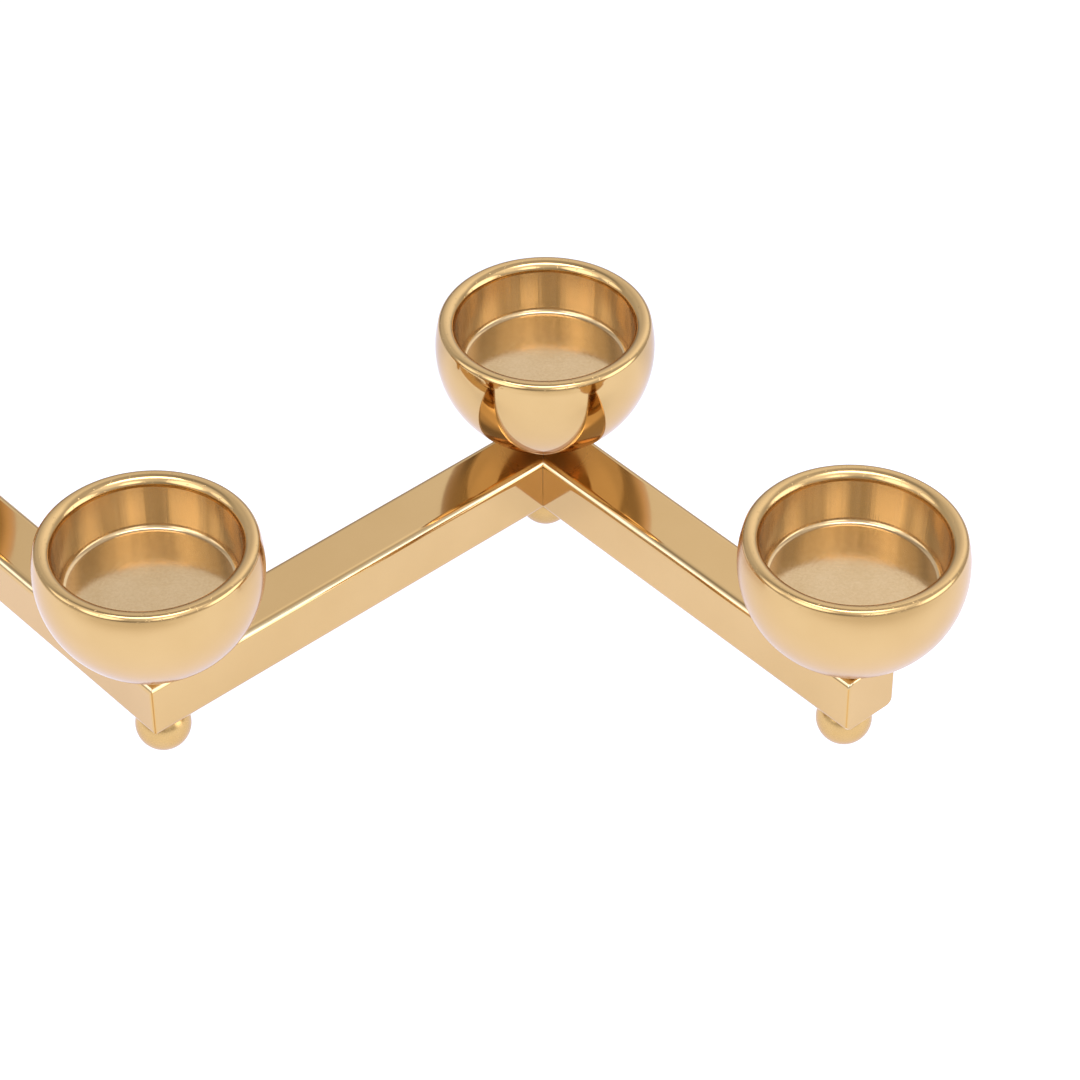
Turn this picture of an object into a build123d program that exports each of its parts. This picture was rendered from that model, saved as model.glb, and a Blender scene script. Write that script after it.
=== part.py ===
from build123d import *
from math import atan2, cos, degrees, radians, sin, sqrt, tan
import os

# Tabletop candelabra: a zigzag of three mitred square tubes on four ball feet,
# with a round-bottomed tealight cup screwed down at each end and each corner.
# The origin is on the table under the middle of the zigzag, X runs along it, Z is up.

# Zigzag, in mm and degrees
corner_angle = 90.0
middle_spacing = 116.25
end_spacing = 101.8
end_overhang = 7.8

# Square tube and the caps that close its two ends
tube_size = 15.0
tube_wall = 1.5
tube_edge_radius = 2.1
tube_inner_edge_radius = 0.6
corner_round = 1.0
cap_thickness = 1.7
cap_edge_radius = 0.8
plug_depth = 2.5
plug_clearance = 0.1

# Tealight cup, measured from its seat on the tube
tealight_radius = 19.0
tealight_clearance = 1.0
neck_radius = 4.8
neck_height = 2.1
belly_wall = 5.7
rim_rise = 7.5
recess_depth = 13.4
lip_outer_round = 1.6
lip_inner_round = 2.5
lead_in_radius = 12.0
floor_fillet = 1.0

# Ball foot, cut flat where it meets the tube
foot_radius = 6.4
foot_flat_radius = 4.1

# Stud that clamps cup, tube and foot together
stud_radius = 2.0
stud_chamfer = 0.4
stud_in_cup = 9.0
stud_in_foot = 6.0
thread_clearance = 0.05
drill_clearance = 0.25
hole_end_gap = 0.4

# Sizes that follow from those above
bar_tilt = radians((180 - corner_angle) / 2)
mitre_reach = tube_size / 2 * tan(bar_tilt)
foot_height = foot_radius + sqrt(foot_radius**2 - foot_flat_radius**2)
tube_axis_height = foot_height + tube_size / 2
seat_height = foot_height + tube_size
bore_radius = tealight_radius + tealight_clearance
cup_radius = bore_radius + belly_wall
belly_height = neck_height + sqrt(cup_radius**2 - neck_radius**2)
cup_height = belly_height + rim_rise
floor_height = cup_height - recess_depth
neck_angle = degrees(atan2(neck_height - belly_height, neck_radius))
tapped_radius = stud_radius + thread_clearance
drilled_radius = stud_radius + drill_clearance


def heading(start, end):
    """The direction from one point of the cup's profile to another, in degrees."""
    return degrees(atan2(end.Y - start.Y, end.X - start.X))


# Lip: an outer round that runs on from the ball, an inner round, and a lead-in that runs into the wall
ball_centre = Vector(0, belly_height)
outer_rise = rim_rise - lip_outer_round
crest_radius = sqrt((cup_radius - lip_outer_round) ** 2 - outer_rise**2)
outer_centre = Vector(crest_radius, cup_height - lip_outer_round)
inner_centre = Vector(crest_radius, cup_height - lip_inner_round)
lead_in_reach = bore_radius + lead_in_radius - crest_radius
lead_in_drop = sqrt((lead_in_radius - lip_inner_round) ** 2 - lead_in_reach**2)
lead_in_centre = inner_centre + Vector(lead_in_reach, -lead_in_drop)
mouth_height = lead_in_centre.Y
lip_angle = heading(ball_centre, outer_centre)
lead_in_angle = heading(lead_in_centre, inner_centre)

# Stations of the cups, feet and studs: the middle tube rises to the back,
# both end tubes fall to the front, and the left half is the right half turned round
rising = Vector(cos(bar_tilt), sin(bar_tilt), 0)
falling = Vector(cos(bar_tilt), -sin(bar_tilt), 0)
rear_corner = rising * (middle_spacing / 2)
right_end = rear_corner + falling * end_spacing
front_corner = rear_corner * -1
left_end = right_end * -1
stations = {
    "right_end": right_end,
    "rear_corner": rear_corner,
    "front_corner": front_corner,
    "left_end": left_end,
}


def raised(station, height):
    """The point at a height above a station on the table."""
    return station + Vector(0, 0, height)


def make_zigzag():
    """The outside of all three tubes as one bar: long edges rounded, outsides of the corners eased."""
    half_width = falling.rotate(Axis.Z, 90) * (tube_size / 2)
    corner_reach = Vector(0, tube_size / 2 / cos(bar_tilt), 0)
    left_cut = left_end - falling * (end_overhang - cap_thickness)
    right_cut = left_cut * -1
    back_corners = [front_corner + corner_reach, rear_corner + corner_reach]
    back = [left_cut + half_width, *back_corners, right_cut + half_width]
    front = [point * -1 for point in back]
    with BuildPart() as zigzag:
        with BuildSketch(Plane.XY.offset(foot_height)):
            with BuildLine():
                Polyline(*back, *front, close=True)
            make_face()
        extrude(amount=tube_size)
        shortest = min(end_spacing, middle_spacing) / 2
        long_edges = zigzag.edges().filter_by(lambda edge: edge.length > shortest)
        fillet(long_edges, tube_edge_radius)
        with BuildSketch(Plane.XY.offset(foot_height)) as eased_plan:
            with BuildLine():
                Polyline(*back, *front, close=True)
            make_face()
            front_edge = eased_plan.vertices().sort_by_distance(front_corner - corner_reach)[0]
            rear_edge = eased_plan.vertices().sort_by_distance(rear_corner + corner_reach)[0]
            fillet([front_edge, rear_edge], corner_round)
        extrude(amount=tube_size, mode=Mode.INTERSECT)
    return zigzag.part


def make_tube(name, start, direction, length, mitres, drilled):
    """One tube of the zigzag: cut at its mitre planes, hollowed and drilled for the studs through it."""
    section = Plane(origin=raised(start, tube_axis_height), x_dir=(0, 0, 1), z_dir=direction)
    hollow = tube_size - 2 * tube_wall
    with BuildPart() as tube:
        add(zigzag)
        for corner, kept_side in mitres:
            split(bisect_by=Plane(origin=corner, z_dir=(1, 0, 0)), keep=kept_side)
        with BuildSketch(section):
            RectangleRounded(hollow, hollow, tube_inner_edge_radius)
        extrude(amount=length, mode=Mode.SUBTRACT)
        for station in drilled:
            with Locations(raised(station, seat_height)):
                Hole(drilled_radius, depth=tube_size)
    tube.part.label = name
    export_step(tube.part, f"parts/{name}.step")


def make_end_cap(name, station, direction):
    """The plate that closes a tube's end, with rounded outer edges and a plug that fits inside."""
    joint = raised(station + direction * (end_overhang - cap_thickness), tube_axis_height)
    joint_plane = Plane(origin=joint, x_dir=(0, 0, 1), z_dir=direction)
    plug_size = tube_size - 2 * (tube_wall + plug_clearance)
    with BuildPart() as end_cap:
        with BuildSketch(joint_plane):
            RectangleRounded(tube_size, tube_size, tube_edge_radius)
        extrude(amount=cap_thickness)
        outer_face = end_cap.faces().sort_by(Axis(joint, direction))[-1]
        fillet(outer_face.edges(), cap_edge_radius)
        with BuildSketch(joint_plane):
            RectangleRounded(plug_size, plug_size, tube_inner_edge_radius)
        extrude(amount=-plug_depth)
    end_cap.part.label = name
    export_step(end_cap.part, f"parts/{name}.step")


def make_cup(name, station):
    """A turned bowl: short neck, ball-shaped belly, rounded lip and a flat-floored recess."""
    seat = raised(station, seat_height)
    turning_plane = Plane(origin=seat, x_dir=(1, 0, 0), z_dir=(0, -1, 0))
    with BuildPart() as cup:
        with BuildSketch(turning_plane):
            with BuildLine():
                Polyline((0, 0), (neck_radius, 0), (neck_radius, neck_height))
                CenterArc(ball_centre, cup_radius, neck_angle, lip_angle - neck_angle)
                CenterArc(outer_centre, lip_outer_round, lip_angle, 90 - lip_angle)
                CenterArc(inner_centre, lip_inner_round, 90, lead_in_angle - 90)
                CenterArc(lead_in_centre, lead_in_radius, lead_in_angle, 180 - lead_in_angle)
                FilletPolyline(
                    (bore_radius, mouth_height),
                    (bore_radius, floor_height),
                    (0, floor_height),
                    radius=floor_fillet,
                )
                Line((0, floor_height), (0, 0))
            make_face()
        revolve(axis=Axis(seat, (0, 0, 1)))
        with Locations(Plane(origin=seat, z_dir=(0, 0, -1))):
            Hole(tapped_radius, depth=stud_in_cup + hole_end_gap)
    cup.part.label = name
    export_step(cup.part, f"parts/{name}.step")


def make_foot(name, station):
    """A ball standing on the table, cut flat and tapped where it meets the tube."""
    with BuildPart() as foot:
        with Locations(raised(station, foot_radius)):
            Sphere(foot_radius)
        split(bisect_by=Plane.XY.offset(foot_height), keep=Keep.BOTTOM)
        with Locations(raised(station, foot_height)):
            Hole(tapped_radius, depth=stud_in_foot + hole_end_gap)
    foot.part.label = name
    export_step(foot.part, f"parts/{name}.step")


def make_stud(name, station):
    """The rod that runs from the foot through the tube and up into the cup."""
    length = stud_in_foot + tube_size + stud_in_cup
    with BuildPart() as stud:
        with BuildSketch(Plane(origin=raised(station, foot_height - stud_in_foot))):
            Circle(stud_radius)
        extrude(amount=length)
        chamfer(stud.edges().filter_by(GeomType.CIRCLE), stud_chamfer)
    stud.part.label = name
    export_step(stud.part, f"parts/{name}.step")


os.makedirs("parts", exist_ok=True)

# The frame: end tubes are cut square under their caps and mitred at the corner
zigzag = make_zigzag()
end_tube_length = end_overhang - cap_thickness + end_spacing + mitre_reach
middle_tube_length = middle_spacing + 2 * mitre_reach
make_tube(
    "tube_middle",
    front_corner - rising * mitre_reach,
    rising,
    middle_tube_length,
    [(front_corner, Keep.TOP), (rear_corner, Keep.BOTTOM)],
    [front_corner, rear_corner],
)
make_tube(
    "tube_right",
    rear_corner - falling * mitre_reach,
    falling,
    end_tube_length,
    [(rear_corner, Keep.TOP)],
    [rear_corner, right_end],
)
make_tube(
    "tube_left",
    left_end - falling * (end_overhang - cap_thickness),
    falling,
    end_tube_length,
    [(front_corner, Keep.BOTTOM)],
    [front_corner, left_end],
)
make_end_cap("end_cap_right", right_end, falling)
make_end_cap("end_cap_left", left_end, falling * -1)

# What stands at each station
for place, station in stations.items():
    make_cup(f"cup_{place}", station)
    make_foot(f"foot_{place}", station)
    make_stud(f"stud_{place}", station)
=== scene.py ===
from math import acos, asin, atan2, cos, pi, radians, sin, sqrt

import bpy
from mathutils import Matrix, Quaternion, Vector


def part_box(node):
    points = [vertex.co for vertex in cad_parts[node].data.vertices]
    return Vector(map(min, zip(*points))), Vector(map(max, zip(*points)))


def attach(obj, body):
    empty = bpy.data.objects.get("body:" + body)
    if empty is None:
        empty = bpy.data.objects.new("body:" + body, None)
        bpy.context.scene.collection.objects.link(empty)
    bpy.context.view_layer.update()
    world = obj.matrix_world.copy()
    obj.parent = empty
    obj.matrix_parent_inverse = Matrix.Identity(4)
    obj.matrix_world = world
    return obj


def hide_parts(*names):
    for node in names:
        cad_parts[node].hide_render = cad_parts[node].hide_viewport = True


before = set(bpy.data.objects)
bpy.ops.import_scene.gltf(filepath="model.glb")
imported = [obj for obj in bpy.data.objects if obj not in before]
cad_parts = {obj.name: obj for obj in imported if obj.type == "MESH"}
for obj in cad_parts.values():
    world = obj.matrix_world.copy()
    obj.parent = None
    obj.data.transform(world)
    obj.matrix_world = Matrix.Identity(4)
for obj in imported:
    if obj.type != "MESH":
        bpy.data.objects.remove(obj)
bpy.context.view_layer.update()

MM = 0.001

# Sizes of the pieces in mm, the part's own but for the wider fillet on the floor of the cup
tube_size = 15.0
tube_wall = 1.5
tube_edge_radius = 2.1
tube_inner_edge_radius = 0.6
corner_round = 1.0
cap_thickness = 1.7
cap_edge_radius = 0.8
plug_depth = 2.5
plug_clearance = 0.1
end_overhang = 7.8
bore_radius = 20.0
cup_radius = 25.7
neck_radius = 4.8
neck_height = 2.1
rim_rise = 7.5
recess_depth = 13.4
lip_outer_round = 1.6
lip_inner_round = 2.5
floor_fillet = 1.6
foot_radius = 6.4
foot_flat_radius = 4.1

# Gap left open at each mitre, which shows as the seam
seam_gap = 0.12

# Height of the foot above the table
foot_height = foot_radius + sqrt(foot_radius**2 - foot_flat_radius**2)

# Heights of the cup above its seat
belly_height = neck_height + sqrt(cup_radius**2 - neck_radius**2)
cup_height = belly_height + rim_rise
floor_height = cup_height - recess_depth
neck_angle = atan2(neck_height - belly_height, neck_radius)

# Lip: an outer round that runs on from the ball, and an inner round that runs into the wall
outer_round_height = cup_height - lip_outer_round
inner_round_height = cup_height - lip_inner_round
crest_radius = sqrt((cup_radius - lip_outer_round) ** 2 - (outer_round_height - belly_height) ** 2)
lip_angle = atan2(outer_round_height - belly_height, crest_radius)
lip_height = belly_height + cup_radius * sin(lip_angle)

# Wall: a slight taper between the lip's inner round and the fillet on the floor
fillet_radius = bore_radius - floor_fillet
fillet_height = floor_height + floor_fillet
wall_across = crest_radius - fillet_radius
wall_up = inner_round_height - fillet_height
wall_between = sqrt(wall_across**2 + wall_up**2)
wall_angle = atan2(wall_up, wall_across) + asin((lip_inner_round + floor_fillet) / wall_between)
wall_normal = (-sin(wall_angle), cos(wall_angle))

# How finely the pieces are meshed
turn_steps = 192
edge_steps = 8
belly_steps = 64
outer_round_steps = 16
inner_round_steps = 24
wall_steps = 8
fillet_steps = 12
floor_steps = 24
foot_steps = 48

places = ("right_end", "rear_corner", "front_corner", "left_end")


def station_of(place):
    """The point on the table under a cup, in mm."""
    low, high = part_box(f"cup_{place}")
    return Vector(((low.x + high.x) / 2, (low.y + high.y) / 2, 0)) / MM


stations = {place: station_of(place) for place in places}
seat_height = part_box("cup_right_end")[0].z / MM
tube_axis_height = seat_height - tube_size / 2


# Meshes with exact normals, so that polished faces mirror cleanly
def mesh_piece(name, corners, faces, normals, face_slots, materials, origin, turn=0.0):
    """An object from points in mm about its origin, with a normal for each corner of each face."""
    mesh = bpy.data.meshes.new(name)
    mesh.from_pydata([Vector(c) * MM for c in corners], [], faces)
    mesh.polygons.foreach_set("use_smooth", [True] * len(faces))
    mesh.polygons.foreach_set("material_index", face_slots)
    for material in materials:
        mesh.materials.append(material)
    mesh.normals_split_custom_set([n for face in normals for n in face])
    piece = bpy.data.objects.new(name, mesh)
    piece.location = Vector(origin) * MM
    piece.rotation_euler.z = turn
    bpy.context.scene.collection.objects.link(piece)
    return piece


def arc_run(centre, radius, start, end, steps):
    """Points and outward normals of an arc in the turning plane."""
    run = []
    for i in range(steps + 1):
        a = start + (end - start) * i / steps
        run.append((centre[0] + radius * cos(a), centre[1] + radius * sin(a), cos(a), sin(a)))
    return run


def line_run(start, end, normal, steps=1):
    """Points of a straight run in the turning plane, all with one normal."""
    run = []
    for i in range(steps + 1):
        t = i / steps
        run.append((start[0] + (end[0] - start[0]) * t, start[1] + (end[1] - start[1]) * t, *normal))
    return run


def lathe(name, runs, origin, materials):
    """A turned piece. Each run is (points with normals, material slot), from the axis round to the axis."""
    corners, faces, normals, slots = [], [], [], []
    rings = {}

    def ring(r, z):
        """The corners at one radius and height, a single one on the axis."""
        key = (round(r, 6), round(z, 6))
        if key not in rings:
            count = 1 if r < 1e-6 else turn_steps
            rings[key] = [len(corners) + k for k in range(count)]
            for k in range(count):
                a = 2 * pi * k / turn_steps
                corners.append((r * cos(a), r * sin(a), z))
        return rings[key]

    for points, slot in runs:
        for p, q in zip(points, points[1:]):
            low, high = ring(p[0], p[1]), ring(q[0], q[1])
            for k in range(turn_steps):
                m = (k + 1) % turn_steps
                face, normal = [], []
                for source, rim, step in ((p, low, k), (p, low, m), (q, high, m), (q, high, k)):
                    index = rim[step % len(rim)]
                    if index in face:
                        continue
                    a = 2 * pi * step / turn_steps
                    face.append(index)
                    normal.append((source[2] * cos(a), source[2] * sin(a), source[3]))
                faces.append(face)
                normals.append(normal)
                slots.append(slot)
    return mesh_piece(name, corners, faces, normals, slots, materials, origin)


def cup_runs(outer=0, recess=1):
    """The cup's profile: neck, ball, lip, wall, fillet and floor."""
    outer_centre = (crest_radius, outer_round_height)
    inner_centre = (crest_radius, inner_round_height)
    fillet_centre = (fillet_radius, fillet_height)
    seat = line_run((0, 0), (neck_radius, 0), (0, -1))
    neck = line_run((neck_radius, 0), (neck_radius, neck_height), (1, 0))
    ball = arc_run((0, belly_height), cup_radius, neck_angle, lip_angle, belly_steps)
    outer_round = arc_run(outer_centre, lip_outer_round, lip_angle, pi / 2, outer_round_steps)
    inner_round = arc_run(inner_centre, lip_inner_round, pi / 2, pi / 2 + wall_angle, inner_round_steps)
    fillet = arc_run(fillet_centre, floor_fillet, wall_angle - pi / 2, -pi / 2, fillet_steps)
    fillet = [(r, z, -nr, -nz) for r, z, nr, nz in fillet]
    wall = line_run(inner_round[-1][:2], fillet[0][:2], wall_normal, wall_steps)
    floor = line_run((fillet_radius, floor_height), (0, floor_height), (0, 1), floor_steps)
    return [(seat, outer), (neck, outer), (ball, outer), (outer_round, outer), (inner_round, outer),
            (wall, recess), (fillet, recess), (floor, recess)]


def foot_runs():
    """The foot's profile: a ball from its pole on the table up to its flat."""
    flat_angle = atan2(foot_height - foot_radius, foot_flat_radius)
    ball = arc_run((0, foot_radius), foot_radius, -pi / 2, flat_angle, foot_steps)
    ball[0] = (0.0, 0.0, 0.0, -1.0)
    flat = line_run((foot_flat_radius, foot_height), (0, foot_height), (0, 1))
    return [(ball, 0), (flat, 0)]


def rounded_square(size, radius, steps):
    """Points (u, v) round a square section with rounded edges, with their normals."""
    half, loop = size / 2 - radius, []
    for quarter in range(4):
        for k in range(steps + 1):
            a = pi / 2 * (quarter + k / steps)
            turn = pi / 2 * quarter
            cu = half * (cos(turn) - sin(turn))
            cv = half * (sin(turn) + cos(turn))
            loop.append((cu + radius * cos(a), cv + radius * sin(a), cos(a), sin(a)))
    return loop


class Loft:
    """Rings of points joined by faces into one closed piece."""

    def __init__(self):
        self.corners, self.faces, self.normals, self.index = [], [], [], {}

    def corner(self, point):
        """The number of a corner, which is added if it is new."""
        key = tuple(round(c, 5) for c in point)
        if key not in self.index:
            self.index[key] = len(self.corners)
            self.corners.append(tuple(point))
        return self.index[key]

    def face(self, points, normals):
        """One face; points that fall together count once."""
        face, kept = [], []
        for point, normal in zip(points, normals):
            index = self.corner(point)
            if index not in face:
                face.append(index)
                kept.append(tuple(normal))
        if len(face) > 2:
            self.faces.append(face)
            self.normals.append(kept)

    def join(self, ring, following):
        """Faces between two rings of (point, normal) with as many points each."""
        count = len(ring)
        for k in range(count):
            m = (k + 1) % count
            self.face((ring[k][0], ring[m][0], following[m][0], following[k][0]),
                      (ring[k][1], ring[m][1], following[m][1], following[k][1]))

    def flat(self, ring, following, normal):
        """Flat faces between two rings in one plane."""
        self.join([(p, normal) for p, _ in ring], [(p, normal) for p, _ in following])

    def lid(self, ring, normal):
        """One flat face that closes a ring."""
        self.face([p for p, _ in ring], [normal] * len(ring))

    def piece(self, name, material, origin, turn):
        """The object, built along X and turned about Z."""
        slots = [0] * len(self.faces)
        return mesh_piece(name, self.corners, self.faces, self.normals, slots, [material], origin, turn)


def section_ring(section, along):
    """A ring of the section's points, each at its own place along X."""
    return [((x, u, v), (0, nu, nv)) for (u, v, nu, nv), x in zip(section, along)]


def mitre_rings(section, corner_x, heading, outer_side):
    """Rings that end a tube in a mitre whose outer upright edge is eased by a small round.
    heading is +1 or -1 along X, and outer_side is the side along Y that the tube is longer on."""
    mitre = pi / 4
    core = tube_size / 2 - corner_round
    straight, eased = [], [[] for step in range(edge_steps + 1)]
    for u, v, nu, nv in section:
        out = outer_side * u
        reach = min(max((out - core) / corner_round, cos(mitre)), 1.0)
        meets = out > core + corner_round * cos(mitre)
        start = acos(reach) if meets else mitre
        for step, ring in enumerate([straight] + eased):
            a = start + (mitre - start) * max(step - 1, 0) / edge_steps
            side = core + corner_round * cos(a) if meets else out
            ahead = core + corner_round * sin(a) if meets else out
            normal = (heading * sin(a), outer_side * cos(a), 0) if meets and step else (0, nu, nv)
            ring.append(((corner_x + heading * (ahead - seam_gap / 2), outer_side * side, v), normal))
    return [straight] + eased


def make_tube(name, start, end, start_mitre, end_mitre, material):
    """A hollow square tube between two stations.
    A mitre is the side that the tube is longer on, +1 or -1, or 0 for a square cut."""
    run = end - start
    half_run = run.length / 2
    outer = rounded_square(tube_size, tube_edge_radius, edge_steps)
    inner = rounded_square(tube_size - 2 * tube_wall, tube_inner_edge_radius, edge_steps)

    def end_rings(section, heading, mitre):
        """The rings that end the outer or inner section, the last one in the plane of the cut."""
        square_x = heading * (half_run + end_overhang - cap_thickness)
        if not mitre:
            return [section_ring(section, [square_x] * len(section))]
        if section is outer:
            return mitre_rings(section, heading * half_run, heading, mitre)
        slanted = [heading * (half_run + mitre * u - seam_gap / 2) for u, v, nu, nv in section]
        return [section_ring(section, slanted)]

    tail, head = end_rings(outer, -1, start_mitre), end_rings(outer, 1, end_mitre)
    inner_tail, inner_head = end_rings(inner, -1, start_mitre)[0], end_rings(inner, 1, end_mitre)[0]
    loft = Loft()
    rings = tail[::-1] + head
    for ring, following in zip(rings, rings[1:]):
        loft.join(ring, following)
    inward = [[(p, (0, -n[1], -n[2])) for p, n in ring] for ring in (inner_head, inner_tail)]
    loft.join(*inward)
    loft.flat(head[-1], inner_head, (1, 0, 0))
    loft.flat(inner_tail, tail[-1], (-1, 0, 0))
    middle = (start + end) / 2 + Vector((0, 0, tube_axis_height))
    return loft.piece(name, material, middle, atan2(run.y, run.x))


def plate_ring(x, inset, lean):
    """A ring round an end cap's plate, inset from its sides, with normals that lean along X."""
    section = rounded_square(tube_size - 2 * inset, tube_edge_radius - inset, edge_steps)
    return [((x, u, v), (sin(lean), nu * cos(lean), nv * cos(lean))) for u, v, nu, nv in section]


def make_end_cap(name, station, axis, material):
    """The plate on a tube's end, its outer edges rounded, with the plug behind it."""
    rings = [plate_ring(0, 0, 0)]
    for step in range(edge_steps + 1):
        lean = pi / 2 * step / edge_steps
        x = cap_thickness - cap_edge_radius * (1 - sin(lean))
        rings.append(plate_ring(x, cap_edge_radius * (1 - cos(lean)), lean))
    plug = rounded_square(tube_size - 2 * (tube_wall + plug_clearance), tube_inner_edge_radius, edge_steps)
    plug_root = section_ring(plug, [0] * len(plug))
    plug_end = section_ring(plug, [-plug_depth] * len(plug))
    loft = Loft()
    for ring, following in zip(rings, rings[1:]):
        loft.join(ring, following)
    loft.lid(rings[-1], (1, 0, 0))
    loft.flat(plug_root, rings[0], (-1, 0, 0))
    loft.join(plug_end, plug_root)
    loft.lid(plug_end[::-1], (-1, 0, 0))
    joint = station + axis * (end_overhang - cap_thickness) + Vector((0, 0, tube_axis_height))
    return loft.piece(name, material, joint, atan2(axis.y, axis.x))


# Materials
class Graph:
    """A tree of shader nodes, each added and linked in one call."""

    def __init__(self, tree):
        self.tree = tree

    def feed(self, socket, value):
        """Links a socket to another one, or sets its value."""
        if isinstance(value, bpy.types.NodeSocket):
            self.tree.links.new(value, socket)
        else:
            socket.default_value = value

    def node(self, kind, inputs=None, **settings):
        node = self.tree.nodes.new(kind)
        for key, value in settings.items():
            setattr(node, key, value)
        for key, value in (inputs or {}).items():
            self.feed(node.inputs[key], value)
        return node

    def vector(self, operation, a, b=None, scale=None):
        node = self.node("ShaderNodeVectorMath", {0: a}, operation=operation)
        if b is not None:
            self.feed(node.inputs[1], b)
        if scale is not None:
            self.feed(node.inputs["Scale"], scale)
        return node.outputs["Value" if operation in ("LENGTH", "DOT_PRODUCT") else "Vector"]

    def math(self, operation, a, b=None):
        inputs = {0: a} if b is None else {0: a, 1: b}
        return self.node("ShaderNodeMath", inputs, operation=operation).outputs[0]

    def span(self, value, low, high, to_low=0.0, to_high=1.0, smooth=False):
        """value mapped from low..high to to_low..to_high, held at both ends."""
        node = self.node("ShaderNodeMapRange", {"Value": value, "From Min": low, "From Max": high,
                                                "To Min": to_low, "To Max": to_high},
                         interpolation_type="SMOOTHSTEP" if smooth else "LINEAR")
        return node.outputs["Result"]

    def blend(self, factor, low, high):
        """low where factor is 0, high where it is 1; each may vary too."""
        return self.node("ShaderNodeMix", {"Factor": factor, "A": low, "B": high}).outputs["Result"]


class Finish(Graph):
    """A material. Places are in mm about the piece's origin."""

    def __init__(self, name, metallic=1.0):
        self.material = bpy.data.materials.new(name)
        self.material.use_nodes = True
        super().__init__(self.material.node_tree)
        self.shader = self.tree.nodes["Principled BSDF"]
        self.shader.inputs["Metallic"].default_value = metallic
        self.place = self.vector("SCALE", self.node("ShaderNodeTexCoord").outputs["Object"], scale=1 / MM)
        parts = self.node("ShaderNodeSeparateXYZ", {"Vector": self.place})
        self.x, self.y, self.z = parts.outputs["X"], parts.outputs["Y"], parts.outputs["Z"]

    def noise(self, per_mm, detail=2.0, stretch=None, shift=0.0, place=None):
        """Noise from 0 to 1 with so many features per mm, stretched along the axes."""
        place = place or self.place
        if stretch:
            place = self.vector("MULTIPLY", place, stretch)
        if shift:
            place = self.vector("ADD", place, (shift, shift, shift))
        inputs = {"Vector": place, "Scale": per_mm, "Detail": detail}
        return self.node("ShaderNodeTexNoise", inputs).outputs["Fac"]

    def line_noise(self, value, per_mm, detail=2.0):
        """Noise that changes along one value only."""
        inputs = {"W": value, "Scale": per_mm, "Detail": detail}
        return self.node("ShaderNodeTexNoise", inputs, noise_dimensions="1D").outputs["Fac"]

    def spread(self, noise, low, high):
        """Noise spread out from low to high; nearly all of it lies from 0.3 to 0.7."""
        return self.span(noise, 0.3, 0.7, low, high)

    def flat_place(self):
        return self.node("ShaderNodeCombineXYZ", {"X": self.x, "Y": self.y}).outputs[0]

    def radius(self):
        return self.vector("LENGTH", self.flat_place())

    def bearing(self):
        """A unit vector from the axis, so that noise in it runs up and down the piece."""
        return self.vector("NORMALIZE", self.flat_place())

    def edges(self):
        """1 on the rounded edges of a squared piece that lie flat, then 1 on those that stand upright.
        The normal's largest part is 1 on a face and about 0.7 on the middle of an edge."""
        face_part, edge_part = 0.92, 0.74
        upright_part, flat_part = 0.12, 0.40
        normal = self.vector("ABSOLUTE", self.node("ShaderNodeTexCoord").outputs["Normal"])
        parts = self.node("ShaderNodeSeparateXYZ", {"Vector": normal})
        most = self.math("MAXIMUM", parts.outputs["Y"], parts.outputs["Z"])
        most = self.math("MAXIMUM", parts.outputs["X"], most)
        rounded = self.span(most, face_part, edge_part, smooth=True)
        leaning = self.span(parts.outputs["Z"], upright_part, flat_part, smooth=True)
        standing = self.math("SUBTRACT", 1.0, leaning)
        return self.math("MULTIPLY", rounded, leaning), self.math("MULTIPLY", rounded, standing)

    def mix(self, factor, dark, light):
        """The colour dark where factor is 0, light where it is 1."""
        node = self.node("ShaderNodeMix", {"Factor": factor}, data_type="RGBA")
        colours = [s for s in node.inputs if s.type == "RGBA"]
        self.feed(colours[0], dark)
        self.feed(colours[1], light)
        return [s for s in node.outputs if s.type == "RGBA"][0]

    def tint(self, colour):
        self.feed(self.shader.inputs["Base Color"], colour)

    def metal(self, value):
        self.feed(self.shader.inputs["Metallic"], value)

    def rough(self, value):
        self.feed(self.shader.inputs["Roughness"], value)

    def relief(self, layers):
        """Bumps one on another, each (height from 0 to 1, depth in mm)."""
        normal = None
        for height, depth in layers:
            bump = self.node("ShaderNodeBump", {"Height": height, "Distance": depth * MM, "Strength": 1.0})
            if normal is not None:
                self.feed(bump.inputs["Normal"], normal)
            normal = bump.outputs["Normal"]
        self.feed(self.shader.inputs["Normal"], normal)


brass_dark = (0.590, 0.378, 0.160, 1)
brass_light = (0.655, 0.434, 0.200, 1)
# Paler colour painted along the long edges of the bars: a painted highlight
brass_edge_highlight = (0.86, 0.69, 0.44, 1)
# Deeper gold painted on the upright edges of the bars: a painted reflection
brass_upright_reflection = (0.600, 0.330, 0.095, 1)
brass_rim_tint = (0.90, 0.86, 0.92, 1)
satin_dark = (0.590, 0.405, 0.205, 1)
satin_light = (0.650, 0.462, 0.255, 1)
wall_dark = (0.560, 0.392, 0.180, 1)
wall_light = (0.620, 0.452, 0.235, 1)
ball_dark = (0.585, 0.365, 0.138, 1)
ball_light = (0.645, 0.420, 0.178, 1)
zinc_dark = (0.45, 0.46, 0.47, 1)
zinc_light = (0.62, 0.63, 0.62, 1)


def brass(name):
    """Brass, with a tint of its own where it is seen edge on."""
    finish = Finish(name)
    finish.shader.inputs["Specular Tint"].default_value = brass_rim_tint
    return finish


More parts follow.
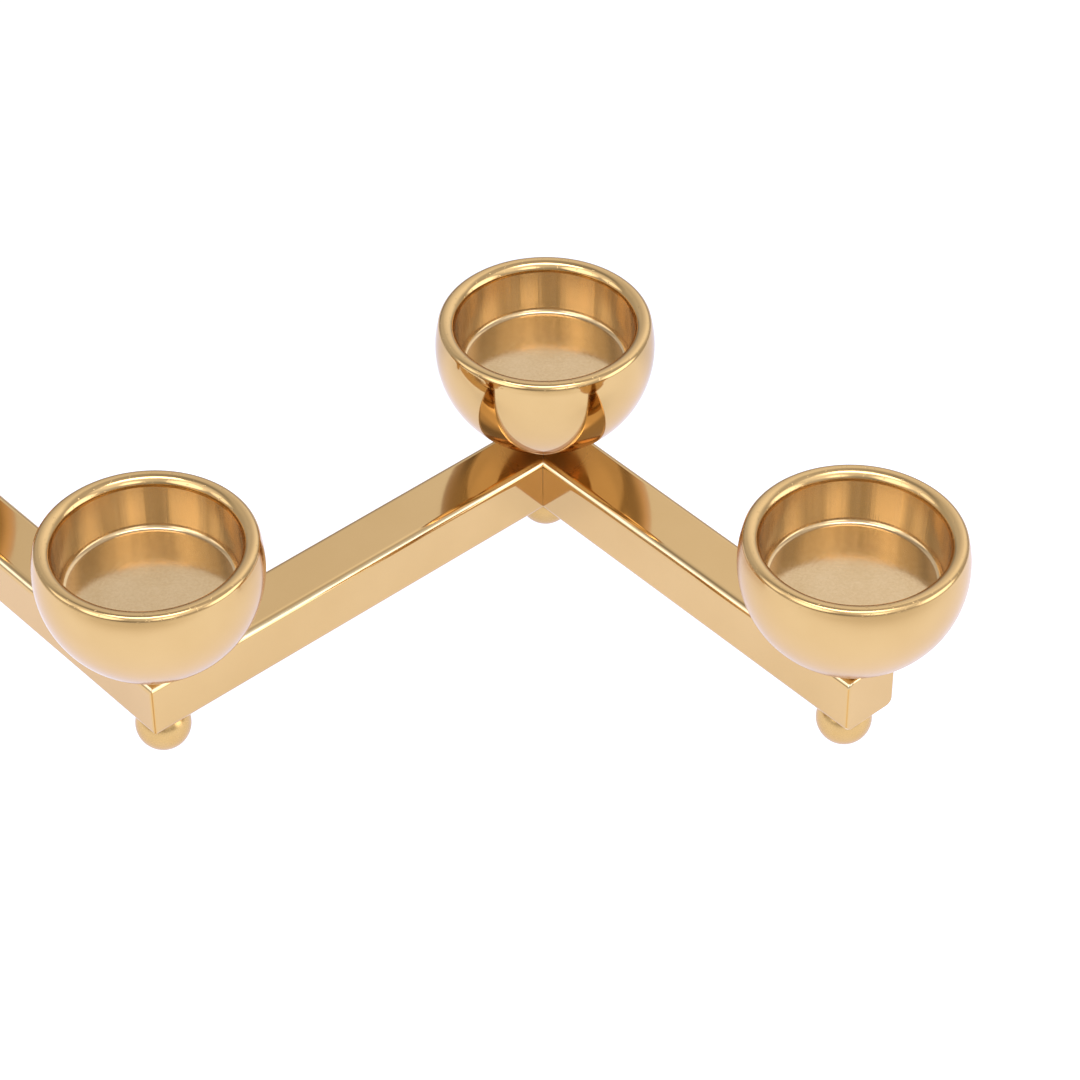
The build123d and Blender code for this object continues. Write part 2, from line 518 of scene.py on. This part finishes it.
def polished_bowl(name, roughness):
    """The outside of a cup: buffed on a wheel, a little wavy, with a shinier lip that has small nicks
    and a dull neck that the wheel doesn't reach."""
    lip_from, lip_full = lip_height - 0.8, lip_height + 0.2
    wheel_from, wheel_full = 2.0, 7.0
    finish = brass(name)
    finish.tint(finish.mix(finish.noise(0.07, 3), brass_dark, brass_light))
    on_lip = finish.span(finish.z, lip_from, lip_full, smooth=True)
    out_of_reach = finish.span(finish.z, wheel_from, wheel_full, 1, 0, smooth=True)
    finish.metal(finish.span(out_of_reach, 0, 1, 1.0, 0.55))
    wheel = finish.line_noise(finish.z, 5.0, 3)
    clouds = finish.noise(0.12, 3, shift=30)
    buffed = finish.math("ADD", finish.spread(clouds, roughness * 0.85, roughness * 1.15),
                         finish.spread(wheel, -0.008, 0.008))
    satin = finish.blend(out_of_reach, buffed, finish.spread(clouds, 0.32, 0.42))
    shine = finish.spread(finish.noise(0.4, 3, shift=50), 0.02 + roughness * 0.5, 0.03 + roughness * 0.75)
    finish.rough(finish.blend(on_lip, satin, shine))
    nicks = finish.span(finish.noise(1.1, 2, shift=70), 0.66, 0.71)
    ripple = finish.noise(0.30, 2, shift=90)
    finish.relief([(finish.noise(0.08, 1), 0.025),
                   (finish.math("MULTIPLY", ripple, on_lip), 0.025),
                   (finish.math("MULTIPLY", nicks, on_lip), -0.03)])
    return finish.material


def turned_recess(name):
    """The inside of a cup: turned on a lathe, so that its shine spreads across the turning marks.
    There are faint rings and grain on the floor, and streaks and chatter marks on the wall."""
    wall_from, wall_full = floor_height + 0.4, floor_height + floor_fillet
    chatter_end = floor_height + 3.2
    finish = brass(name)
    bearing = finish.bearing()
    on_wall = finish.span(finish.z, wall_from, wall_full)
    off_wall = finish.math("SUBTRACT", 1.0, on_wall)
    streaks = finish.noise(14.0, 3, place=bearing)
    clouds = finish.noise(0.10, 3)
    grain = finish.noise(1.6, 4, shift=60)
    mottle = finish.span(finish.math("ADD", clouds, grain), 0.75, 1.25)
    wall_tint = finish.mix(streaks, wall_dark, wall_light)
    floor_tint = finish.mix(mottle, satin_dark, satin_light)
    finish.tint(finish.mix(on_wall, floor_tint, wall_tint))
    finish.metal(finish.blend(on_wall, 0.92, 0.84))
    wall = finish.spread(streaks, 0.15, 0.21)
    floor = finish.spread(finish.noise(0.8, 3), 0.10, 0.15)
    finish.rough(finish.blend(on_wall, floor, wall))
    finish.shader.inputs["Anisotropic"].default_value = 0.75
    finish.shader.inputs["Anisotropic Rotation"].default_value = 0.25
    around = finish.node("ShaderNodeTangent", direction_type="RADIAL", axis="Z")
    finish.feed(finish.shader.inputs["Tangent"], around.outputs["Tangent"])
    chatter = finish.noise(60.0, 1, place=bearing)
    below_end = finish.span(finish.z, wall_full, chatter_end, 1, 0, smooth=True)
    low_wall = finish.math("MULTIPLY", on_wall, below_end)
    rings = finish.math("SUBTRACT", finish.line_noise(finish.radius(), 1.4, 3), 0.5)
    finish.relief([(finish.math("MULTIPLY", rings, off_wall), 0.004),
                   (finish.math("MULTIPLY", streaks, on_wall), 0.045),
                   (finish.math("MULTIPLY", chatter, low_wall), 0.04),
                   (finish.noise(1.5, 2, shift=20), 0.0015)])
    return finish.material


def polished_bar(name):
    """Tubes and end caps: polished along their length, the long edges duller from handling and painted
    paler in patches as a painted highlight, the upright ones painted a deeper gold as a painted reflection."""
    finish = brass(name)
    on_edge, on_upright = finish.edges()
    clouds = finish.mix(finish.noise(0.05, 3), brass_dark, brass_light)
    # Patches of paler colour along the long edges: a painted highlight
    edge_highlight = finish.math("MULTIPLY", on_edge, finish.spread(finish.noise(0.15, 3, shift=40), 0.5, 1.0))
    # The upright edges are painted a deeper gold, a painted reflection
    finish.tint(finish.mix(on_upright, finish.mix(edge_highlight, clouds, brass_edge_highlight), brass_upright_reflection))
    strokes = finish.noise(2.0, 3, stretch=(0.02, 1, 1))
    face = finish.math("ADD", finish.spread(finish.noise(0.1, 2, shift=15), 0.07, 0.10),
                       finish.spread(strokes, -0.012, 0.012))
    finish.rough(finish.blend(on_edge, face, finish.spread(finish.noise(0.8, 3), 0.14, 0.20)))
    finish.relief([(finish.noise(0.04, 1), 0.015), (strokes, 0.0005)])
    return finish.material


def polished_ball(name):
    """The feet: polished less evenly than the cups."""
    finish = brass(name)
    finish.tint(finish.mix(finish.noise(0.3, 3), ball_dark, ball_light))
    finish.rough(finish.spread(finish.noise(0.6, 3), 0.22, 0.30))
    finish.relief([(finish.noise(0.3, 1), 0.02), (finish.line_noise(finish.z, 2.0, 2), 0.002)])
    return finish.material


def zinc_plate(name):
    """The studs, hidden inside."""
    finish = Finish(name)
    finish.tint(finish.mix(finish.noise(1.0, 3), zinc_dark, zinc_light))
    finish.rough(finish.spread(finish.noise(2.0, 3), 0.25, 0.4))
    finish.relief([(finish.line_noise(finish.z, 1.4, 1), 0.02)])
    return finish.material


# The bowls aren't polished alike: the rear one is the brightest, the right one the dullest
bowl_roughness = {"right_end": 0.22, "rear_corner": 0.06, "front_corner": 0.13, "left_end": 0.13}
bowl_brass = {place: polished_bowl(f"bowl_brass_{place}", value) for place, value in bowl_roughness.items()}
recess_brass = turned_recess("recess_brass")
tube_brass = polished_bar("tube_brass")
foot_brass = polished_ball("foot_brass")
stud_zinc = zinc_plate("stud_zinc")
for place in places:
    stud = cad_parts[f"stud_{place}"]
    stud.material_slots[0].material = stud_zinc

# Pieces
for place, station in stations.items():
    seat = station + Vector((0, 0, seat_height))
    cup = lathe(f"bowl_{place}", cup_runs(), seat, [bowl_brass[place], recess_brass])
    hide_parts(f"cup_{place}")
    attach(cup, "root")
    foot = lathe(f"ball_{place}", foot_runs(), station, [foot_brass])
    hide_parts(f"foot_{place}")
    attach(foot, "root")

# Each bar with its node, the stations that it runs between and the sides of its two mitres
bars = [
    ("bar_middle", "tube_middle", "front_corner", "rear_corner", -1, 1),
    ("bar_right", "tube_right", "rear_corner", "right_end", 1, 0),
    ("bar_left", "tube_left", "left_end", "front_corner", 0, -1),
]
for name, node, start, end, mitre_start, mitre_end in bars:
    bar = make_tube(name, stations[start], stations[end], mitre_start, mitre_end, tube_brass)
    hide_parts(node)
    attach(bar, "root")

outward = (stations["right_end"] - stations["rear_corner"]).normalized()
for name, node, place, axis in (
    ("plate_right", "end_cap_right", "right_end", outward),
    ("plate_left", "end_cap_left", "left_end", -outward),
):
    plate = make_end_cap(name, stations[place], axis, tube_brass)
    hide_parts(node)
    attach(plate, "root")

# Floor: it glows as a painted pool of light, white round the object, with painted shadow making it a little
# less bright behind it, and pale grey further off.
# Its half size is in metres, and the radii and the shade's reach are in mm from its middle
floor_half = 4.0
floor_middle = Vector((21, 107, 0)) * MM
floor_grey = (0.35, 0.35, 0.35, 1)
near_radius, far_radius = 257, 400
near_glow, far_glow = 0.90, 0.40
near_glow_colour = (0.95, 1.03, 1.22, 1)
far_glow_colour = (1.02, 0.99, 0.93, 1)
shade_from, shade_full = -50, -5
shade_depth = 0.24
floor_corners = [(x * floor_half, y * floor_half, 0) for x, y in ((-1, -1), (1, -1), (1, 1), (-1, 1))]
floor_mesh = bpy.data.meshes.new("floor")
floor_mesh.from_pydata(floor_corners, [], [(0, 1, 2, 3)])
floor = bpy.data.objects.new("floor", floor_mesh)
floor.location = floor_middle
bpy.context.scene.collection.objects.link(floor)
paint = Finish("floor_paint", metallic=0.0)
paint.shader.inputs["Base Color"].default_value = floor_grey
paint.shader.inputs["Roughness"].default_value = 0.9
paint.shader.inputs["Specular IOR Level"].default_value = 0.0
far = paint.span(paint.radius(), near_radius, far_radius, smooth=True)
# The glow's colour is painted light: bluish white near the object, warmer further off
paint.feed(paint.shader.inputs["Emission Color"], paint.mix(far, near_glow_colour, far_glow_colour))
glow = paint.span(far, 0, 1, near_glow, far_glow)
# Painted shadow: the glow is lowered behind the object, where its shadow would fall
shade = paint.span(paint.y, shade_from, shade_full, 0, shade_depth, smooth=True)
paint.feed(paint.shader.inputs["Emission Strength"], paint.math("SUBTRACT", glow, shade))
floor_mesh.materials.append(paint.material)

# Light: a pale room in bands from the back horizon over the top to the front, each (degrees, level).
# The right is brighter than the left, and far out to either side the level is even
bands = ((0, 0.4), (8, 0.45), (19, 0.9), (30, 1.05), (60, 1.12), (73, 0.55), (97, 0.6),
         (104, 1.15), (122, 1.12), (142, 1.00), (158, 0.62), (170, 0.45), (180, 0.45))
brightest = 2.0
left_share, right_share = 0.72, 1.28
share_reach = 0.35
side_from, side_full = 0.55, 0.9
side_level = 0.62
room_colour = (1, 1.03, 1.10, 1)

# A brighter strip just in front of overhead: the degrees over which it comes and goes, and how far
# to the side it reaches, as the X part of the direction
strip_level = 3.4
strip_comes = (98, 104)
strip_goes = (110, 118)
strip_full, strip_end = 0.25, 0.50

# Soft patches: azimuth, elevation, degrees from the middle where the light starts and is full, level
patches = (
    (-8, 15, 26, 11, 2.1),
    (187, 24, 16, 6, 1.2),
    (-68, 30, 14, 6, 1.6),
    (-130, 30, 24, 10, 1.9),
    (-160, 48, 25, 10, 0.6),
)


def aim(azimuth, elevation):
    """The unit vector at an angle from X round Z and an angle above the floor, both in degrees."""
    az, el = radians(azimuth), radians(elevation)
    return Vector((cos(az) * cos(el), sin(az) * cos(el), sin(el)))


world = bpy.data.worlds.new("studio")
bpy.context.scene.world = world
world.use_nodes = True
room = Graph(world.node_tree)
direction = room.node("ShaderNodeTexCoord").outputs["Generated"]
towards = room.node("ShaderNodeSeparateXYZ", {"Vector": direction})
over = room.math("ARCTAN2", towards.outputs["Z"], towards.outputs["Y"])
ramp = room.node("ShaderNodeValToRGB", {"Fac": room.math("DIVIDE", over, pi)})
while len(ramp.color_ramp.elements) < len(bands):
    ramp.color_ramp.elements.new(0.5)
for element, (degrees_over, band_level) in zip(ramp.color_ramp.elements, bands):
    grey = band_level / brightest
    element.position = degrees_over / 180
    element.color = (grey, grey, grey, 1)
side = towards.outputs["X"]
off_middle = room.math("ABSOLUTE", side)
share = room.span(side, -share_reach, share_reach, left_share * brightest, right_share * brightest)
aside = room.span(off_middle, side_from, side_full, smooth=True)
light = room.blend(aside, room.math("MULTIPLY", ramp.outputs["Color"], share), side_level)
comes = room.span(over, radians(strip_comes[0]), radians(strip_comes[1]), smooth=True)
goes = room.span(over, radians(strip_goes[0]), radians(strip_goes[1]), 1, 0, smooth=True)
strip_width = room.span(off_middle, strip_full, strip_end, strip_level, 0, smooth=True)
strip = room.math("MULTIPLY", room.math("MULTIPLY", comes, goes), strip_width)
light = room.math("ADD", light, strip)
for azimuth, elevation, start, full, patch_level in patches:
    nearness = room.vector("DOT_PRODUCT", direction, aim(azimuth, elevation))
    patch = room.span(nearness, cos(radians(start)), cos(radians(full)), 0, patch_level, smooth=True)
    light = room.math("ADD", light, patch)
backdrop = room.tree.nodes["Background"]
backdrop.inputs["Color"].default_value = room_colour
room.feed(backdrop.inputs["Strength"], light)

# Two softboxes that face the object from above, in degrees, metres and watts
box_elevation = 70
box_distance = 1.2
box_width = 0.50
box_depth = 0.20
box_power = 0.9
for name, azimuth in (("key_box", -62), ("fill_box", -125)):
    box = bpy.data.lights.new(name, "AREA")
    box.shape = "RECTANGLE"
    box.size = box_width
    box.size_y = box_depth
    box.energy = box_power
    lamp = bpy.data.objects.new(name, box)
    lamp.location = box_distance * aim(azimuth, box_elevation)
    lamp.rotation_euler = (-lamp.location).to_track_quat("-Z", "Y").to_euler()
    bpy.context.scene.collection.objects.link(lamp)

# Camera at the photograph's viewing angle
camera_place = Vector((84.0, -671.25, 626.9)) * MM
camera_heading = radians(-3.56)
camera_pitch = radians(41.63)
camera_roll = radians(-0.32)
lens_mm = 130.4
sensor_mm = 36
camera_data = bpy.data.cameras.new("camera")
camera_data.lens = lens_mm
camera_data.sensor_width = sensor_mm
camera = bpy.data.objects.new("camera", camera_data)
camera.location = camera_place
level_part = cos(camera_pitch)
forward = Vector((sin(camera_heading) * level_part, cos(camera_heading) * level_part, -sin(camera_pitch)))
unrolled = forward.to_track_quat("-Z", "Y")
camera.rotation_euler = (unrolled @ Quaternion((0, 0, 1), camera_roll)).to_euler()
bpy.context.scene.collection.objects.link(camera)
bpy.context.scene.camera = camera
bpy.context.scene.view_settings.view_transform = "Standard"

bpy.context.view_layer.update()
